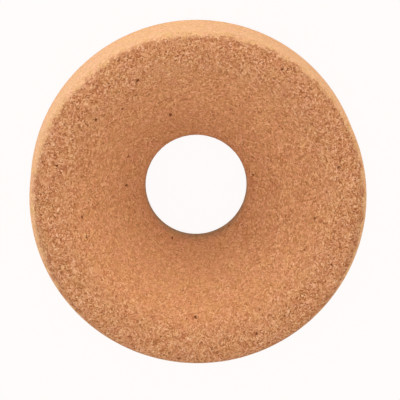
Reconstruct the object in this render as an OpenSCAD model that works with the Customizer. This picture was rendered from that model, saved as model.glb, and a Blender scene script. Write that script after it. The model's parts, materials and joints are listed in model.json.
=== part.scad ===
// Cork ring: a turned ring of pressed cork that holds a round-bottomed flask upright.
// It is one solid of revolution about Z, with its origin at the centre of the base.
// Its section, from the outside in: a straight wall, a rounded outer edge, a narrow level
// rim, a conical seat between two roundings, and a short straight hole through the base.

/* [Ring] */
// Outer diameter
outer_d = 110; // [90:1:160]
// Height from the base to the rim
height = 34; // [26:1:45]

/* [Rim] */
// Radius of the outer top edge
edge_round = 5; // [2:0.5:7]
// Width of the level band on top of the rim
rim_flat_w = 2; // [0.5:0.5:5]
// Radius that leads from the rim into the seat
rim_round = 11; // [4:0.5:14]

/* [Hole] */
// Diameter of the hole through the base
hole_d = 33.5; // [24:0.5:40]
// Radius that leads from the seat into the hole
throat_round = 9; // [2:0.5:18]
// Height of the hole's straight wall, measured from the base
hole_wall_h = 2; // [1.5:0.5:6]

/* [Bottom edges] */
// Width of the break round the outside of the base
base_break = 1; // [0.4:0.2:2]
// Width of the break round the hole in the base
hole_break = 0.8; // [0.2:0.2:1.2]

/* [Hidden] */

outer_r = outer_d / 2;
hole_r = hole_d / 2;

// Angle between the points along a rounded stretch of the section
arc_step = 5;
// Facets of the revolved preview
$fn = 180;

// Centres of the rounded stretches, each as [distance from the axis, height]
edge_centre = [outer_r - edge_round, height - edge_round];
rim_centre = [outer_r - edge_round - rim_flat_w, height - rim_round];
throat_centre = [hole_r + throat_round, hole_wall_h];

// The seat is the cone that touches both the rim's rounding and the throat's, so its
// slope above the horizontal follows from where the two roundings lie
climb = rim_centre - throat_centre;
seat_slope = atan2(climb.y, climb.x) - asin((throat_round - rim_round) / norm(climb));

// Points along an arc of the section, from one angle to another
function arc(centre, radius, from, to) =
    let (steps = ceil(abs(to - from) / arc_step))
    [for (i = [0 : steps])
        let (angle = from + (to - from) * i / steps)
        centre + radius * [cos(angle), sin(angle)]];

// Half section of the ring, anticlockwise from the hole's lower edge
module ring_section() {
    polygon(concat(
        [[hole_r + hole_break, 0], [outer_r - base_break, 0], [outer_r, base_break]],
        arc(edge_centre, edge_round, 0, 90),
        arc(rim_centre, rim_round, 90, 90 + seat_slope),
        arc(throat_centre, throat_round, 90 + seat_slope, 180),
        [[hole_r, hole_break]]
    ));
}

// The whole ring, turned from one block
module cork_ring() {
    color("#CC8F61")
        rotate_extrude()
            ring_section();
}

cork_ring();
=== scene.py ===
"""A cork ring: the stand of pressed cork that holds a round-bottomed flask upright on a bench.

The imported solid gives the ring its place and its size. The script turns the same section again
with enough points to carry the cork's own relief, dresses it as pressed cork, and sets it on a
plain pale floor in soft studio light.
"""

import json
import logging
import math
from dataclasses import dataclass
from enum import Enum
from typing import Any

import bmesh
import bpy
from mathutils import Matrix, Vector, noise


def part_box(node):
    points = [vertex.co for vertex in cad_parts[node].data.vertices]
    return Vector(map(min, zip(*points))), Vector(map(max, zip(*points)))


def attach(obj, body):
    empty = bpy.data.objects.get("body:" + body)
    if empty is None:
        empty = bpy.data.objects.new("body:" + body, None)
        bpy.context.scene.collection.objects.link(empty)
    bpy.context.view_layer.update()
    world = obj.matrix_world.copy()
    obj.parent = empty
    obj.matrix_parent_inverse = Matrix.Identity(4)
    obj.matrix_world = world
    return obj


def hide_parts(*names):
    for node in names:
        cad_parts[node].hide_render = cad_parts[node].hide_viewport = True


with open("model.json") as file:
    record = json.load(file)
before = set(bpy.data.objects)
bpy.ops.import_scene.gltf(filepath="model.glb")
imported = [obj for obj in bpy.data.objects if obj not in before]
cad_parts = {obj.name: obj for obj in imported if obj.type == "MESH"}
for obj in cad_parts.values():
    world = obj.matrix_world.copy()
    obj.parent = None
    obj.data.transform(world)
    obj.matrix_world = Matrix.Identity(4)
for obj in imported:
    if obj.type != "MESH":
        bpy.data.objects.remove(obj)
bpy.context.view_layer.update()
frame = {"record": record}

LOG = logging.getLogger("cork_ring")
MM = 0.001
WHITE = (1.0, 1.0, 1.0, 1.0)

# Unlike factors, so that the random draws made from the granules' places don't follow each other.
LEVEL_DRAW = 7.3
PIT_DRAW = 5.7
PIT_WAY_DRAW = 9.1


class Layer(Enum):
    """What each vertex of the ring notes for the material to read."""

    COARSE = "coarse"
    EDGE = "edge"
    PIT = "pit"
    # Painted light: the seat's colour lifted paler.
    PAINTED_SEAT_LIGHT = "painted_seat_light"
    # Painted shade: the cork darkened round the hole's lower end.
    PAINTED_HOLE_SHADE = "painted_hole_shade"


@dataclass(frozen=True)
class Span:
    """A change of one value that follows another."""

    low: float
    high: float
    at_low: float = 0.0
    at_high: float = 1.0

    def ease(self, value: float) -> float:
        """Change smoothly with a value.

        Args:
            value: The value that is followed.

        Returns:
            What the value leads to, between at_low and at_high.
        """
        share = min(max((value - self.low) / (self.high - self.low), 0.0), 1.0)
        return self.at_low + (self.at_high - self.at_low) * share * share * (3 - 2 * share)

    def following(self, value: bpy.types.NodeSocket) -> dict[str, Any]:
        """Give the inputs of a Map Range node that makes the same change.

        Args:
            value: The socket that is followed.

        Returns:
            The inputs, by name.
        """
        return {"Value": value, "From Min": self.low, "From Max": self.high,
                "To Min": self.at_low, "To Max": self.at_high}


def srgb(hex_colour: str) -> tuple[float, float, float, float]:
    """Turn an sRGB hex colour into the linear colour that the shaders use.

    Args:
        hex_colour: Six hex digits after a hash sign.

    Returns:
        Linear red, green and blue, and an alpha of 1.
    """
    parts = [int(hex_colour[i:i + 2], 16) / 255 for i in (1, 3, 5)]
    linear = [c / 12.92 if c <= 0.04045 else ((c + 0.055) / 1.055) ** 2.4 for c in parts]
    return (*linear, 1.0)


def add_node(tree: bpy.types.NodeTree, kind: str, inputs: dict[Any, Any] | None = None,
             **settings: Any) -> bpy.types.Node:
    """Add one shader node, with its settings, values and links.

    Args:
        tree: The node tree that the node goes into.
        kind: The node's type name.
        inputs: Input names or numbers, each with a value or with the output socket to link.
        **settings: Properties of the node itself, such as its operation.

    Returns:
        The new node.
    """
    node = tree.nodes.new(kind)
    for name, value in settings.items():
        setattr(node, name, value)
    for socket, value in (inputs or {}).items():
        if isinstance(value, bpy.types.NodeSocket):
            tree.links.new(value, node.inputs[socket])
        else:
            node.inputs[socket].default_value = value
    return node


class SectionPen:
    """Draws a section as a chain of edges, in the XZ plane of a bmesh."""

    def __init__(self, bm: bmesh.types.BMesh, start: tuple[float, float], spacing: float) -> None:
        """Start a chain.

        Args:
            bm: The mesh that the chain is drawn in.
            start: First point, as distance from the axis and height.
            spacing: Largest distance between the points of the chain.
        """
        self.bm = bm
        self.spacing = spacing
        self.tip = bmesh.ops.create_vert(bm, co=(start[0], 0, start[1]))["vert"][0]

    def line(self, end: tuple[float, float], spacing: float | None = None) -> None:
        """Draw a straight stretch to a point.

        Args:
            end: The stretch's last point, as distance from the axis and height.
            spacing: Largest distance between its points, where it differs from the chain's.
        """
        target = Vector((end[0], 0, end[1]))
        steps = max(1, math.ceil((target - self.tip.co).length / (spacing or self.spacing)))
        step = (target - self.tip.co) / steps
        for _ in range(steps):
            self.tip = bmesh.ops.extrude_vert_indiv(self.bm, verts=[self.tip])["verts"][0]
            bmesh.ops.translate(self.bm, verts=[self.tip], vec=step)

    def arc(self, centre: tuple[float, float], turn: float) -> None:
        """Draw a round stretch about a centre.

        Args:
            centre: The arc's centre, as distance from the axis and height.
            turn: Angle that the arc covers, in radians, positive anticlockwise.
        """
        middle = Vector((centre[0], 0, centre[1]))
        length = (self.tip.co - middle).length * abs(turn)
        steps = max(3, math.ceil(length / self.spacing))
        made = bmesh.ops.spin(self.bm, geom=[self.tip], cent=middle, axis=(0, -1, 0), angle=turn,
                              steps=steps, use_duplicate=False)
        self.tip = made["geom_last"][0]


@dataclass(frozen=True)
class RingSection:
    """Half section of the ring, in metres, as the solid has it."""

    outer_r: float
    height: float
    hole_r: float
    edge_round: float = 5 * MM
    rim_flat_w: float = 2 * MM
    rim_round: float = 11 * MM
    throat_round: float = 9 * MM
    hole_wall_h: float = 2 * MM
    base_break: float = 1 * MM
    hole_break: float = 0.8 * MM

    @property
    def edge_centre(self) -> tuple[float, float]:
        """Centre of the outer edge's rounding."""
        return self.outer_r - self.edge_round, self.height - self.edge_round

    @property
    def rim_centre(self) -> tuple[float, float]:
        """Centre of the rounding that leads from the rim into the seat."""
        return self.outer_r - self.edge_round - self.rim_flat_w, self.height - self.rim_round

    @property
    def throat_centre(self) -> tuple[float, float]:
        """Centre of the rounding that leads from the seat into the hole."""
        return self.hole_r + self.throat_round, self.hole_wall_h

    @property
    def seat_slope(self) -> float:
        """Slope of the seat above the horizontal, where it touches both roundings."""
        across = self.rim_centre[0] - self.throat_centre[0]
        up = self.rim_centre[1] - self.throat_centre[1]
        lean = math.asin((self.throat_round - self.rim_round) / math.hypot(across, up))
        return math.atan2(up, across) - lean

    def across_seat(self, radius: float) -> float:
        """How far a place lies from the hole's wall, at 0, to the level rim, at 1."""
        return (radius - self.hole_r) / (self.rim_centre[0] - self.hole_r)

    def trace(self, bm: bmesh.types.BMesh, spacing: float, plain_spacing: float) -> None:
        """Draw the closed section into a bmesh, anticlockwise from the hole's lower edge.

        Args:
            bm: The mesh that the section is drawn in.
            spacing: Distance between the points where the surface is rough.
            plain_spacing: Distance between the points on the wall and the base.
        """
        slope = self.seat_slope
        seat_foot = (self.throat_centre[0] - self.throat_round * math.sin(slope),
                     self.throat_centre[1] + self.throat_round * math.cos(slope))
        start = (self.hole_r + self.hole_break, 0.0)
        pen = SectionPen(bm, start, spacing)
        pen.line((self.outer_r - self.base_break, 0), plain_spacing)
        pen.line((self.outer_r, self.base_break))
        pen.line((self.outer_r, self.edge_centre[1]), plain_spacing)
        pen.arc(self.edge_centre, math.pi / 2)
        pen.line((self.rim_centre[0], self.height))
        pen.arc(self.rim_centre, slope)
        pen.line(seat_foot)
        pen.arc(self.throat_centre, math.pi / 2 - slope)
        pen.line((self.hole_r, self.hole_break))
        pen.line(start)


@dataclass(frozen=True)
class Relief:
    """How deep the relief of the cork is, with its lengths in millimetres.

    The bend and the joint's width are shares of a granule, and a pit's core and edge are shares of
    the pits' pitch.
    """

    seed: int = 24

    # The granules: their size, how far they lie at different levels, and the joints between them.
    granule: float = 1.2
    bend: float = 0.45
    level: float = 0.07
    joint: float = 0.06
    joint_width: Span = Span(0.0, 0.3, 1.0, 0.0)

    # The slow sway that the grinding left.
    sway: float = 0.06
    sway_pitch: float = 7.0

    # The pits: how deep and how many they are, and their sizes and stretch.
    pit: float = 0.6
    pit_pitch: float = 5.0
    pit_share: float = 0.35
    pit_least: float = 0.6
    pit_more: float = 0.6
    pit_core: float = 0.04
    pit_edge: float = 0.12
    pit_stretch: float = 0.5

    def pit_at(self, bent: Vector) -> float:
        """Work out how much of a place belongs to a pit: a few granules that broke out.

        Args:
            bent: The place in millimetres, bent as the granules are.

        Returns:
            1 in the core of a pit and 0 outside all of them.
        """
        _, seeds = noise.voronoi(bent / self.pit_pitch)
        held = 0.5 + 0.5 * noise.cell(seeds[0] * PIT_DRAW)
        if held >= self.pit_share:
            return 0.0
        reach = self.pit_least + self.pit_more * (held / self.pit_share)
        way = noise.cell_vector(seeds[0] * PIT_WAY_DRAW).normalized()
        away = bent / self.pit_pitch - seeds[0]
        away -= way * (self.pit_stretch * away.dot(way))
        return Span(self.pit_core * reach, self.pit_edge * reach, 1.0, 0.0).ease(away.length)

    def depth(self, place: Vector, coarse: float) -> tuple[float, float]:
        """Work out how far the surface lies below the turned one at a place.

        Args:
            place: The place in millimetres.
            coarse: 0 where the surface is closed and 1 where it is fully open.

        Returns:
            The depth in millimetres, and how much of it belongs to a pit, from 0 to 1.
        """
        bent = place + noise.noise_vector(place / self.granule) * (self.bend * self.granule)
        near, seeds = noise.voronoi(bent / self.granule)
        joint = self.joint_width.ease(near[1] - near[0])
        level = 0.5 + 0.5 * noise.cell(seeds[0] * LEVEL_DRAW)
        sway = 0.5 + 0.5 * noise.noise(place / self.sway_pitch)
        pit = self.pit_at(bent)
        depth = coarse * (self.sway * sway + self.level * level + self.joint * joint) + self.pit * pit
        return depth, pit


@dataclass(frozen=True)
class Working:
    """How open the cork is on each face of the ring, where it is worn, and where light and shade are painted
    into its colour.

    Coarseness runs from 0, closed, to 1, wide open. A span across the seat follows a place from 0
    at the hole's wall to 1 at the level rim, and the wall's start follows it round the outer edge,
    from 0 on top to 1 on the wall.
    """

    # How open each face is.
    rim: float = 0.94
    rim_ground: float = 0.08
    wall: float = 0.15
    base: float = 0.6
    wall_start: tuple[float, float] = (0.44, 0.64)
    seat: Span = Span(0.296, 0.776, 0.60, 0.75)
    seat_to_rim: Span = Span(0.824, 0.984)

    # The seat is worn smoother at the front and torn a little more open on the right.
    seat_worn: Span = Span(0.488, 0.808, 0.24, 0.08)
    seat_torn: Span = Span(0.424, 0.744, 0.22, 0.0)

    # Where painted light makes the seat paler, and how far up the hole painted shade darkens the cork.
    seat_light_inside: Span = Span(0.008, 0.488, 0.55, 1.0)
    seat_light_outside: Span = Span(0.616, 0.968, 1.0, 0.0)
    hole_shade_from: float = 0.1 * MM
    hole_shade_full: float = 1.5 * MM
    hole_shade_end: float = 5 * MM
    hole_shade_front: float = 3.5 * MM

    # The rough rim reaches further round the outer edge at the front, painted shade where that edge turns
    # away from the light, and a little further on the right.
    front_facing: Span = Span(0.2, 0.95)
    front_reach: float = 0.35
    right_reach: float = 0.09

    def edge_share(self, place: Vector, section: RingSection) -> float:
        """How far round the outer edge a place lies, with the rough rim reaching further round at the front
        and on the right.

        Args:
            place: The place.
            section: The ring's section.

        Returns:
            0 on the rim and the seat, 1 on the wall, and the share of the quarter turn between. It is
            less at the front and a little less on the right, where the rough rim reaches further round.
        """
        out = place.xy.length - section.edge_centre[0]
        up = place.z - section.edge_centre[1]
        if out <= 0 or place.z < section.hole_break:
            return 0.0
        # Painted shade at the front: the darker open cork reaches further down the edge that turns away from
        # the light.
        front = self.front_facing.ease(-place.y / section.outer_r)
        right = max(place.x / section.outer_r, 0)
        rim_reach = self.front_reach * front + self.right_reach * right * (1 - front)
        return 1 - math.atan2(max(up, 0), out) / (math.pi / 2) - rim_reach

    def coarseness(self, place: Vector, edge: float, section: RingSection) -> float:
        """How open and rough the surface is at a place.

        Args:
            place: The place.
            edge: How far round the outer edge the place lies.
            section: The ring's section.

        Returns:
            0 for a closed surface and 1 for one that is wide open.
        """
        radius = place.xy.length
        rim = self.rim - self.rim_ground * abs(place.y) / radius
        if edge > 0:
            return Span(*self.wall_start, rim, self.wall).ease(edge)
        if place.z < section.hole_break:
            return self.base
        front = max(-place.y / radius, 0)
        right = max(place.x / radius, 0)
        across = section.across_seat(radius)
        seat = self.seat.ease(across)
        seat *= 1 - self.seat_worn.ease(across) * front + self.seat_torn.ease(across) * right
        return seat + (rim - seat) * self.seat_to_rim.ease(across)

    def painted_seat_light(self, place: Vector, section: RingSection) -> float:
        """How much painted light lifts the cork paler here: most across the middle of the seat, less towards
        the hole.

        Args:
            place: The place.
            section: The ring's section.

        Returns:
            1 at the middle of the seat, less towards the hole and 0 on the rim.
        """
        across = section.across_seat(place.xy.length)
        return self.seat_light_inside.ease(across) * self.seat_light_outside.ease(across)

    def painted_hole_shade(self, place: Vector, section: RingSection) -> float:
        """How much painted shade darkens the cork, which it does only round the hole's lower end.

        Args:
            place: The place.
            section: The ring's section.

        Returns:
            1 on the hole's wall, less where it opens into the seat, and 0 elsewhere.
        """
        radius = place.xy.length
        if place.z < self.hole_shade_from or radius > section.throat_centre[0]:
            return 0.0
        front = max(-place.y / radius, 0)
        end = self.hole_shade_end + self.hole_shade_front * front
        return Span(self.hole_shade_full, end, 1.0, 0.0).ease(place.z)


@dataclass(frozen=True)
class Grit:
    """The sizes, in millimetres, of what pressed cork is made of.

    The cells of cork are 0.03 to 0.05 mm wide. The crumbs and fibres stand for them, and are drawn
    about ten times coarser so that they show.
    """

    granule: float = 2.2
    crumb: float = 0.42
    crumb_stretch: float = 2.3
    fibre: float = 0.28
    fibre_roughness: float = 0.6
    broad_bend: float = 1.3
    broad_bend_pitch: float = 1.1
    fine_bend: float = 0.5
    fine_bend_pitch: float = 0.4
    void_pitch: float = 1.5
    cluster_pitch: float = 4.5
    speck_pitch: float = 5.0
    calm_pitch: float = 5.0
    hue_pitch: float = 4.0
    patch: float = 2.6
    bump: float = 0.15


@dataclass(frozen=True)
class PressedCork:
    """Pressed cork: granules of bark bound under heat, then turned and ground dry.

    A tone runs from 0, the darkest brown, to 1, the palest. The shares say how much of a tone, of a
    ragged line or of a colour comes from each part of the grain.
    """

    grit: Grit

    # The grain: its tones from dark to pale, and what its granules, crumbs and fibres add to them.
    tones: tuple[str, ...] = ("#814722", "#B77142", "#D49264", "#E5A87A", "#FDD0A8")
    tone_stops: tuple[float, ...] = (0.0, 0.27, 0.52, 0.75, 1.0)
    tone_base: float = -0.46
    tone_granule: float = 0.04
    tone_crumb: float = 0.82
    tone_fibre: float = 1.0

    # The open cork: its calm places, the painted light in the seat, the painted shade in the hole and the
    # torn lip.
    mean: str = "#CD9165"
    calm: Span = Span(0.35, 0.65, 0.72, 1.05)
    seat_light_gain: tuple[float, float, float] = (1.11, 1.138, 1.12)
    hole_shade_gain: tuple[float, float, float] = (0.72, 0.94, 1.08)
    lip: Span = Span(0.04, 0.38, 1.0, 0.875)

    # The hue: more ochre in some granules and rosier in others.
    ochre: str = "#FDFFF5"
    rosy: str = "#FFFBFE"
    hue: Span = Span(0.3, 0.7, -0.25, 0.75)
    hue_granule: float = 0.5

    # The dark places: voids in clusters, flecks of bark and pits.
    bark: str = "#763F19"
    void_reach: Span = Span(0.26, 0.14)
    void_cluster: Span = Span(0.45, 0.7, 0.12, 1.0)
    speck_reach: Span = Span(0.12, 0.06)
    speck_draw: float = 0.7
    void_dark: float = 0.6
    pit_dark: Span = Span(0.2, 0.6, 0.0, 0.9)

    # The ground wall: its two shades, the grain in it, the ragged line where it starts, and how its colour
    # comes in beyond that line.
    ground: str = "#F0C78D"
    ground_patch: str = "#FACA9F"
    patch: Span = Span(0.35, 0.65)
    ground_grain: float = 0.5
    ragged_granule: float = 0.10
    ragged_crumb: float = 0.10
    torn_draw: float = 0.8
    torn: float = -0.16
    wall_first: Span = Span(0.52, 0.62, 0.0, 0.78)
    wall_rest: Span = Span(0.8, 1.0, 0.0, 0.22)

    # The surface: dry and matt, with the grain's own bumps.
    roughness: float = 0.88
    ior: float = 1.45
    specular: float = 0.25
    bump_strength: float = 0.7

    def build(self, name: str) -> bpy.types.Material:
        """Build the node material.

        Args:
            name: Name of the material.

        Returns:
            The finished material.
        """
        # Pressed cork, ground dry: quite matt, a warm brown made of many small shades, with dark
        # voids and flecks of bark where it is open, and an even pale tan where the grinding closed it.
        material = bpy.data.materials.new(name)
        material.use_nodes = True
        material.node_tree.nodes.clear()
        CorkNodes(material.node_tree, self).build()
        return material


class CorkNodes:
    """Puts the nodes of pressed cork into a tree, with a method for each trait of the cork."""

    def __init__(self, tree: bpy.types.NodeTree, cork: PressedCork) -> None:
        """Read the place and the vertex layers, and lay out the granules.

        Args:
            tree: The empty node tree.
            cork: The finish that the nodes show.
        """
        self.tree = tree
        self.cork = cork
        place = add_node(tree, "ShaderNodeTexCoord").outputs["Object"]
        self.mm = add_node(tree, "ShaderNodeVectorMath", {0: place, "Scale": 1 / MM},
                           operation="SCALE").outputs[0]
        self.layer = {layer: add_node(tree, "ShaderNodeAttribute", attribute_name=layer.value).outputs["Fac"]
                      for layer in Layer}
        self.bend = self.bent_place()
        granule = add_node(tree, "ShaderNodeTexVoronoi",
                           {"Vector": self.bend, "Scale": 1 / cork.grit.granule}).outputs["Color"]
        self.granule = add_node(tree, "ShaderNodeSeparateColor", {"Color": granule}).outputs
        along = self.along_granule(granule)
        crumb = add_node(tree, "ShaderNodeTexVoronoi", {"Vector": along, "Scale": 1 / cork.grit.crumb})
        self.crumb = add_node(tree, "ShaderNodeSeparateColor", {"Color": crumb.outputs["Color"]}).outputs
        self.tone = self.grain_tone(along)
        self.shade = self.grain_shade()

    def bent_place(self) -> bpy.types.NodeSocket:
        """Bend the place twice, broadly and finely, so that no granule keeps straight sides.

        Returns:
            The bent place in millimetres.
        """
        grit = self.cork.grit
        broad = add_node(self.tree, "ShaderNodeTexNoise",
                         {"Vector": self.mm, "Scale": 1 / grit.broad_bend_pitch, "Detail": 2.0})
        fine = add_node(self.tree, "ShaderNodeTexNoise",
                        {"Vector": self.mm, "Scale": 1 / grit.fine_bend_pitch, "Detail": 1.0})
        bend = self.mm
        for bends, size in ((broad, grit.broad_bend), (fine, grit.fine_bend)):
            bend = add_node(self.tree, "ShaderNodeVectorMath",
                            {0: bends.outputs["Color"], 1: (size, size, size), 2: bend},
                            operation="MULTIPLY_ADD").outputs[0]
        return bend

    def along_granule(self, granule: bpy.types.NodeSocket) -> bpy.types.NodeSocket:
        """Turn each granule its own way, and stretch its crumbs and fibres along it.

        Args:
            granule: Each granule's own random colour.

        Returns:
            The place as the granule's own grain has it.
        """
        lie = add_node(self.tree, "ShaderNodeVectorMath", {0: granule, "Scale": 2 * math.pi},
                       operation="SCALE").outputs[0]
        turned = add_node(self.tree, "ShaderNodeVectorRotate", {"Vector": self.bend, "Rotation": lie},
                          rotation_type="EULER_XYZ").outputs[0]
        stretch = (1 / self.cork.grit.crumb_stretch, 1.0, 1.0)
        return add_node(self.tree, "ShaderNodeVectorMath", {0: turned, 1: stretch},
                        operation="MULTIPLY").outputs[0]

    def grain_tone(self, along: bpy.types.NodeSocket) -> bpy.types.NodeSocket:
        """Add up the tones of the granule, its crumbs and its fibres.

        Args:
            along: The place as the granule's own grain has it.

        Returns:
            The tone, from 0 to 1.
        """
        cork = self.cork
        fibre = add_node(self.tree, "ShaderNodeTexNoise",
                         {"Vector": along, "Scale": 1 / cork.grit.fibre, "Detail": 1.0,
                          "Roughness": cork.grit.fibre_roughness}).outputs["Fac"]
        tone = add_node(self.tree, "ShaderNodeMath",
                        {0: self.granule[0], 1: cork.tone_granule, 2: cork.tone_base},
                        operation="MULTIPLY_ADD").outputs[0]
        tone = add_node(self.tree, "ShaderNodeMath", {0: self.crumb[0], 1: cork.tone_crumb, 2: tone},
                        operation="MULTIPLY_ADD").outputs[0]
        return add_node(self.tree, "ShaderNodeMath", {0: fibre, 1: cork.tone_fibre, 2: tone},
                        operation="MULTIPLY_ADD", use_clamp=True).outputs[0]

    def grain_shade(self) -> bpy.types.NodeSocket:
        """Turn the tone into a shade of cork.

        Returns:
            The colour of the grain.
        """
        ramp = add_node(self.tree, "ShaderNodeValToRGB", {"Fac": self.tone})
        stops = ramp.color_ramp.elements
        while len(stops) < len(self.cork.tones):
            stops.new(0.5)
        for stop, at, colour in zip(stops, self.cork.tone_stops, self.cork.tones, strict=True):
            stop.position = at
            stop.color = srgb(colour)
        return ramp.outputs["Color"]

    def open_cork(self) -> bpy.types.NodeSocket:
        """Colour the rim and the seat: full contrast where the cork is open, calm where it is closed.

        Returns:
            The colour, without voids, flecks and pits.
        """
        cork = self.cork
        calm = add_node(self.tree, "ShaderNodeTexNoise",
                        {"Vector": self.mm, "Scale": 1 / cork.grit.calm_pitch, "Detail": 2.0}).outputs["Fac"]
        calm = add_node(self.tree, "ShaderNodeMapRange", cork.calm.following(calm)).outputs[0]
        contrast = add_node(self.tree, "ShaderNodeMath", {0: calm, 1: self.layer[Layer.COARSE]},
                            operation="MULTIPLY").outputs[0]
        colour = add_node(self.tree, "ShaderNodeMix",
                          {"Factor": contrast, "A": srgb(cork.mean), "B": self.shade},
                          data_type="RGBA").outputs["Result"]

        # The seat is painted paler, as painted light, and the hole darker, as painted shade.
        gain = add_node(self.tree, "ShaderNodeMix",
                        {"Factor": self.layer[Layer.PAINTED_SEAT_LIGHT], "A": WHITE, "B": (*cork.seat_light_gain, 1)},
                        data_type="RGBA").outputs["Result"]
        gain = add_node(self.tree, "ShaderNodeMix",
                        {"Factor": self.layer[Layer.PAINTED_HOLE_SHADE], "A": gain, "B": (*cork.hole_shade_gain, 1)},
                        data_type="RGBA").outputs["Result"]

        # Next to the ground wall the granules are torn, and shade each other.
        lip = add_node(self.tree, "ShaderNodeMapRange", cork.lip.following(self.layer[Layer.EDGE]),
                       interpolation_type="SMOOTHSTEP").outputs[0]
        for factor in (gain, lip):
            colour = add_node(self.tree, "ShaderNodeMix", {"Factor": 1.0, "A": colour, "B": factor},
                              data_type="RGBA", blend_type="MULTIPLY").outputs["Result"]
        return colour

    def tint(self) -> bpy.types.NodeSocket:
        """Make some granules rosier and some more ochre than their neighbours.

        Returns:
            The colour that multiplies the cork's own.
        """
        cork = self.cork
        hue = add_node(self.tree, "ShaderNodeTexNoise",
                       {"Vector": self.mm, "Scale": 1 / cork.grit.hue_pitch, "Detail": 1.0}).outputs["Fac"]
        hue = add_node(self.tree, "ShaderNodeMapRange", cork.hue.following(hue)).outputs[0]
        hue = add_node(self.tree, "ShaderNodeMath", {0: self.granule[2], 1: cork.hue_granule, 2: hue},
                       operation="MULTIPLY_ADD", use_clamp=True).outputs[0]
        return add_node(self.tree, "ShaderNodeMix",
                        {"Factor": hue, "A": srgb(cork.ochre), "B": srgb(cork.rosy)},
                        data_type="RGBA").outputs["Result"]

    def voids(self) -> bpy.types.NodeSocket:
        """Open small voids between the granules, in clusters, and more of them where the cork is open.

        Returns:
            1 in a void and 0 outside.
        """
        cork = self.cork
        void = add_node(self.tree, "ShaderNodeTexVoronoi",
                        {"Vector": self.bend, "Scale": 1 / cork.grit.void_pitch}).outputs
        draw = add_node(self.tree, "ShaderNodeSeparateColor", {"Color": void["Color"]}).outputs[1]
        inside = add_node(self.tree, "ShaderNodeMapRange",
                          cork.void_reach.following(void["Distance"])).outputs[0]
        cluster = add_node(self.tree, "ShaderNodeTexNoise",
                           {"Vector": self.mm, "Scale": 1 / cork.grit.cluster_pitch,
                            "Detail": 1.0}).outputs["Fac"]
        share = add_node(self.tree, "ShaderNodeMapRange", cork.void_cluster.following(cluster),
                         interpolation_type="SMOOTHSTEP").outputs[0]

        # By the square of the coarseness, so that closed cork has hardly any.
        for _ in range(2):
            share = add_node(self.tree, "ShaderNodeMath", {0: share, 1: self.layer[Layer.COARSE]},
                             operation="MULTIPLY").outputs[0]
        is_open = add_node(self.tree, "ShaderNodeMath", {0: draw, 1: share},
                           operation="LESS_THAN").outputs[0]
        return add_node(self.tree, "ShaderNodeMath", {0: inside, 1: is_open},
                        operation="MULTIPLY").outputs[0]

    def flecks(self) -> bpy.types.NodeSocket:
        """Strew a few small dark scraps of bark.

        Returns:
            1 on a scrap and 0 elsewhere.
        """
        cork = self.cork
        scrap = add_node(self.tree, "ShaderNodeTexVoronoi",
                         {"Vector": self.bend, "Scale": 1 / cork.grit.speck_pitch}).outputs
        draw = add_node(self.tree, "ShaderNodeSeparateColor", {"Color": scrap["Color"]}).outputs[2]
        near = add_node(self.tree, "ShaderNodeMapRange",
                        cork.speck_reach.following(scrap["Distance"])).outputs[0]
        some = add_node(self.tree, "ShaderNodeMath", {0: draw, 1: cork.speck_draw},
                        operation="GREATER_THAN").outputs[0]
        return add_node(self.tree, "ShaderNodeMath", {0: near, 1: some}, operation="MULTIPLY").outputs[0]

    def darkened(self, colour: bpy.types.NodeSocket, hollow: bpy.types.NodeSocket) -> bpy.types.NodeSocket:
        """Darken voids, flecks and pits to the brown of bark.

        Args:
            colour: The colour of the open cork.
            hollow: 1 in a void and 0 outside.

        Returns:
            The colour with the dark places in it.
        """
        cork = self.cork
        dark = add_node(self.tree, "ShaderNodeMath", {0: hollow, 1: self.flecks()},
                        operation="MAXIMUM").outputs[0]
        dark = add_node(self.tree, "ShaderNodeMath", {0: dark, 1: cork.void_dark},
                        operation="MULTIPLY").outputs[0]
        pit = add_node(self.tree, "ShaderNodeMapRange",
                       cork.pit_dark.following(self.layer[Layer.PIT])).outputs[0]
        dark = add_node(self.tree, "ShaderNodeMath", {0: dark, 1: pit}, operation="MAXIMUM").outputs[0]
        return add_node(self.tree, "ShaderNodeMix", {"Factor": dark, "A": colour, "B": srgb(cork.bark)},
                        data_type="RGBA").outputs["Result"]

    def ground_cork(self) -> bpy.types.NodeSocket:
        """Colour the ground wall: nearly even, with soft patches and a little of the grain.

        Returns:
            The colour of the wall.
        """
        cork = self.cork
        patch = add_node(self.tree, "ShaderNodeTexNoise",
                         {"Vector": self.mm, "Scale": 1 / cork.grit.patch, "Detail": 2.0}).outputs["Fac"]
        patch = add_node(self.tree, "ShaderNodeMapRange", cork.patch.following(patch)).outputs[0]
        ground = add_node(self.tree, "ShaderNodeMix",
                          {"Factor": patch, "A": srgb(cork.ground), "B": srgb(cork.ground_patch)},
                          data_type="RGBA").outputs["Result"]
        return add_node(self.tree, "ShaderNodeMix",
                        {"Factor": cork.ground_grain, "A": ground, "B": self.shade},
                        data_type="RGBA").outputs["Result"]

    def wall_share(self) -> bpy.types.NodeSocket:
        """Draw the ragged line where the rim's granules start. Beyond it the wall's colour comes in most of
        the way at once, and fully only further round the edge, which leaves a darker band below the line.

        Returns:
            0 on the open cork and 1 on the ground wall.
        """
        cork = self.cork
        torn = add_node(self.tree, "ShaderNodeMath", {0: self.granule[2], 1: cork.torn_draw},
                        operation="GREATER_THAN").outputs[0]
        ragged = self.layer[Layer.EDGE]
        for part, share in ((self.granule[1], cork.ragged_granule), (self.crumb[1], cork.ragged_crumb),
                            (torn, cork.torn)):
            ragged = add_node(self.tree, "ShaderNodeMath", {0: part, 1: share, 2: ragged},
                              operation="MULTIPLY_ADD").outputs[0]
        wall_first = add_node(self.tree, "ShaderNodeMapRange", cork.wall_first.following(ragged)).outputs[0]
        full = add_node(self.tree, "ShaderNodeMapRange", cork.wall_rest.following(ragged)).outputs[0]
        return add_node(self.tree, "ShaderNodeMath", {0: wall_first, 1: full}, operation="ADD").outputs[0]

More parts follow.
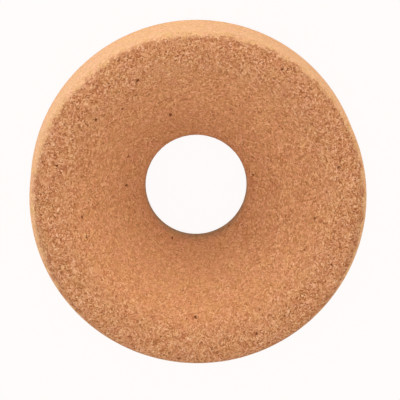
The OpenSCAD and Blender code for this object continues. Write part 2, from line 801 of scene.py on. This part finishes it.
    def bump(self, hollow: bpy.types.NodeSocket) -> bpy.types.NodeSocket:
        """Raise what is too fine for the mesh: each granule's cells, and the rims of the voids.

        Args:
            hollow: 1 in a void and 0 outside.

        Returns:
            The bent normal.
        """
        rough = add_node(self.tree, "ShaderNodeMath", {0: self.tone, 1: hollow},
                         operation="SUBTRACT").outputs[0]
        rough = add_node(self.tree, "ShaderNodeMath", {0: rough, 1: self.layer[Layer.COARSE]},
                         operation="MULTIPLY").outputs[0]
        return add_node(self.tree, "ShaderNodeBump",
                        {"Height": rough, "Strength": self.cork.bump_strength,
                         "Distance": self.cork.grit.bump * MM}).outputs[0]

    def build(self) -> None:
        """Join the traits into one surface."""
        cork = self.cork
        hollow = self.voids()
        colour = self.darkened(self.open_cork(), hollow)
        colour = add_node(self.tree, "ShaderNodeMix",
                          {"Factor": self.wall_share(), "A": colour, "B": self.ground_cork()},
                          data_type="RGBA").outputs["Result"]
        colour = add_node(self.tree, "ShaderNodeMix", {"Factor": 1.0, "A": colour, "B": self.tint()},
                          data_type="RGBA", blend_type="MULTIPLY").outputs["Result"]
        shader = add_node(self.tree, "ShaderNodeBsdfPrincipled",
                          {"Base Color": colour, "Roughness": cork.roughness, "IOR": cork.ior,
                           "Specular IOR Level": cork.specular, "Normal": self.bump(hollow)})
        add_node(self.tree, "ShaderNodeOutputMaterial", {"Surface": shader.outputs[0]})


@dataclass
class CorkRing:
    """The ring: turned from its section, roughened as each face was worked, and dressed."""

    section: RingSection
    working: Working
    relief: Relief
    finish: PressedCork
    spin_steps: int = 600
    spacing: float = 0.45 * MM
    plain_spacing: float = 3.0 * MM
    weld: float = 0.01 * MM

    def turn(self) -> bmesh.types.BMesh:
        """Turn the section into the plain ring.

        Returns:
            The closed mesh, its faces outward.
        """
        bm = bmesh.new()
        self.section.trace(bm, self.spacing, self.plain_spacing)
        bmesh.ops.remove_doubles(bm, verts=bm.verts, dist=self.weld)
        bmesh.ops.spin(bm, geom=[*bm.verts, *bm.edges], cent=(0, 0, 0), axis=(0, 0, 1), angle=2 * math.pi,
                       steps=self.spin_steps, use_merge=True, use_duplicate=False)
        bmesh.ops.recalc_face_normals(bm, faces=bm.faces)
        return bm

    def roughen(self, bm: bmesh.types.BMesh) -> None:
        """Sink the relief into the plain ring, and note on each vertex how its face was worked and how much
        painted light and shade it takes.

        Args:
            bm: The plain ring.
        """
        layers = {layer: bm.verts.layers.float.new(layer.value) for layer in Layer}
        bm.normal_update()
        noise.seed_set(self.relief.seed)
        for vert in bm.verts:
            edge = self.working.edge_share(vert.co, self.section)
            coarse = self.working.coarseness(vert.co, edge, self.section)
            vert[layers[Layer.EDGE]] = edge
            vert[layers[Layer.COARSE]] = coarse
            vert[layers[Layer.PAINTED_SEAT_LIGHT]] = self.working.painted_seat_light(vert.co, self.section)
            vert[layers[Layer.PAINTED_HOLE_SHADE]] = self.working.painted_hole_shade(vert.co, self.section)
            if vert.co.z < self.section.base_break:
                continue
            depth, pit = self.relief.depth(vert.co / MM, coarse)
            vert[layers[Layer.PIT]] = pit
            vert.co -= vert.normal * depth * MM

    def build(self) -> bpy.types.Object:
        """Make the ring, dress it and tie it to the frame.

        Returns:
            The finished piece.
        """
        bm = self.turn()
        self.roughen(bm)
        for face in bm.faces:
            face.smooth = True
        mesh = bpy.data.meshes.new("cork_body")
        bm.to_mesh(mesh)
        bm.free()
        mesh.materials.append(self.finish.build("pressed_cork"))
        ring = bpy.data.objects.new("cork_body", mesh)
        bpy.context.scene.collection.objects.link(ring)
        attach(ring, "root")
        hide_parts("cork_ring")
        return ring


@dataclass(frozen=True)
class Softbox:
    """One square soft light, aimed at the ring, with its angles in degrees and its power in watts."""

    name: str
    heading: float
    rise: float
    size: float
    power: float
    distance: float = 1.5
    colour: str = "#FFFFFF"

    def build(self, target: Vector) -> None:
        """Hang the light.

        Args:
            target: The point that it faces.
        """
        data = bpy.data.lights.new(self.name, "AREA")
        data.shape = "SQUARE"
        data.size = self.size
        data.energy = self.power
        data.color = srgb(self.colour)[:3]
        heading = math.radians(self.heading)
        rise = math.radians(self.rise)
        level = math.cos(rise)
        arm = Vector((math.cos(heading) * level, math.sin(heading) * level, math.sin(rise)))
        light = bpy.data.objects.new(self.name, data)
        light.matrix_world = (Matrix.Translation(target + arm * self.distance)
                              @ arm.to_track_quat("Z", "Y").to_matrix().to_4x4())
        light.visible_camera = False
        bpy.context.scene.collection.objects.link(light)


SOFTBOXES = (
    Softbox("back", heading=90, rise=12, size=0.5, power=4.2),
    Softbox("back_right", heading=48, rise=18, size=0.7, power=2.4, colour="#FFEBD6"),
    Softbox("left", heading=190, rise=25, size=0.3, power=0.34, distance=0.6, colour="#E6F0FF"),
    Softbox("low_left", heading=148, rise=0.6, size=0.06, power=5.7, colour="#DFECFF"),
)


@dataclass
class Studio:
    """A plain pale floor, soft light all round, and a camera that looks down on the ring."""

    rim_centre: Vector
    camera_distance: float = 1.4
    camera_tilt: float = math.radians(9.3)
    camera_heading: float = math.radians(8.8)
    sensor_width: float = 36.0
    frame_width: float = 129.9545 * MM
    off_axis: tuple[float, float] = (-0.49 * MM, 0.0)
    sky_strength: float = 0.92
    sky_shown: float = 1.0
    floor_shown: float = 0.95
    floor_glow: float = 1.013
    floor_r: float = 4.0
    floor_segments: int = 96
    white: str = "#FFFCFB"
    board: str = "#E6E4E2"

    def camera(self) -> None:
        """Set a long lens above the ring, leaning towards the back and a little to the left."""
        data = bpy.data.cameras.new("camera")
        data.sensor_width = self.sensor_width
        data.lens = self.sensor_width * self.camera_distance / self.frame_width
        lean = Vector((-math.sin(self.camera_heading), math.cos(self.camera_heading), 0))
        pivot = Vector((0, 0, 1)).cross(lean)
        turn = Matrix.Rotation(self.camera_tilt, 3, pivot)
        right, up, back = turn @ Vector((1, 0, 0)), turn @ Vector((0, 1, 0)), turn @ Vector((0, 0, 1))
        aim = self.rim_centre - right * self.off_axis[0] - up * self.off_axis[1]
        camera = bpy.data.objects.new("camera", data)
        camera.matrix_world = Matrix.Translation(aim + back * self.camera_distance) @ turn.to_4x4()
        bpy.context.scene.collection.objects.link(camera)
        bpy.context.scene.camera = camera

    def seen_share(self, tree: bpy.types.NodeTree, share: float) -> bpy.types.NodeSocket:
        """Give a share to the rays that show the background, and none to those that light the ring.

        Args:
            tree: The node tree that the nodes go into.
            share: The value for camera, glossy and transmission rays.

        Returns:
            The socket with the value.
        """
        path = add_node(tree, "ShaderNodeLightPath").outputs
        seen = add_node(tree, "ShaderNodeMath", {0: path["Is Camera Ray"], 1: path["Is Glossy Ray"]},
                        operation="MAXIMUM").outputs[0]
        seen = add_node(tree, "ShaderNodeMath", {0: seen, 1: path["Is Transmission Ray"]},
                        operation="MAXIMUM").outputs[0]
        return add_node(tree, "ShaderNodeMath", {0: seen, 1: share}, operation="MULTIPLY").outputs[0]

    def white_board(self) -> bpy.types.Material:
        """Make the floor's material, lifted to plain white where it is seen.

        Returns:
            The finished material.
        """
        # Matt white board: even and without any shine, so that only the ring's shadow shows on it.
        material = bpy.data.materials.new("matt_white_board")
        material.use_nodes = True
        tree = material.node_tree
        tree.nodes.clear()
        board = add_node(tree, "ShaderNodeBsdfDiffuse", {"Color": srgb(self.board)})
        glow = add_node(tree, "ShaderNodeEmission", {"Color": srgb(self.white), "Strength": self.floor_glow})
        share = self.seen_share(tree, self.floor_shown)
        mixed = add_node(tree, "ShaderNodeMixShader", {0: share, 1: board.outputs[0], 2: glow.outputs[0]})
        add_node(tree, "ShaderNodeOutputMaterial", {"Surface": mixed.outputs[0]})
        return material

    def floor(self) -> bpy.types.Object:
        """Lay the floor.

        Returns:
            The floor.
        """
        bm = bmesh.new()
        bmesh.ops.create_circle(bm, cap_ends=True, segments=self.floor_segments, radius=self.floor_r)
        mesh = bpy.data.meshes.new("floor")
        bm.to_mesh(mesh)
        bm.free()
        mesh.materials.append(self.white_board())
        floor = bpy.data.objects.new("floor", mesh)
        bpy.context.scene.collection.objects.link(floor)
        return floor

    def sky(self) -> None:
        """Light the scene evenly from all round, and show plain white past the floor."""
        world = bpy.data.worlds.new("studio")
        bpy.context.scene.world = world
        world.use_nodes = True
        tree = world.node_tree
        tree.nodes.clear()
        seen = self.seen_share(tree, 1.0)
        strength = add_node(tree, "ShaderNodeMix",
                            {"Factor": seen, "A": self.sky_strength, "B": self.sky_shown}).outputs[0]
        sky = add_node(tree, "ShaderNodeBackground", {"Color": srgb(self.white), "Strength": strength})
        add_node(tree, "ShaderNodeOutputWorld", {"Surface": sky.outputs[0]})

    def build(self) -> None:
        """Build the whole studio."""
        self.camera()
        floor = self.floor()
        LOG.info("%s: radius %.1f m", floor.name, self.floor_r)
        self.sky()
        for softbox in SOFTBOXES:
            softbox.build(Vector((0, 0, self.rim_centre.z / 2)))
            LOG.info("softbox %s: %.2f W", softbox.name, softbox.power)
        bpy.context.scene.view_settings.view_transform = "Standard"


def main() -> None:
    """Build the ring and its studio, and note the sizes."""
    logging.basicConfig(level=logging.INFO, format="%(name)s: %(message)s")
    low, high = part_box("cork_ring")
    mounts = {mount["name"]: mount for mount in frame["record"]["mounts"]}
    section = RingSection(
        outer_r=(high.x - low.x) / 2,
        height=high.z - low.z,
        hole_r=mounts["centre_hole"]["dims"]["r_mm"] * MM,
    )
    Studio(rim_centre=Vector((0, 0, high.z))).build()
    ring = CorkRing(section, Working(), Relief(), PressedCork(Grit())).build()
    LOG.info("%s: %d vertices, %d faces", ring.name, len(ring.data.vertices), len(ring.data.polygons))


if __name__ == "__main__":
    main()
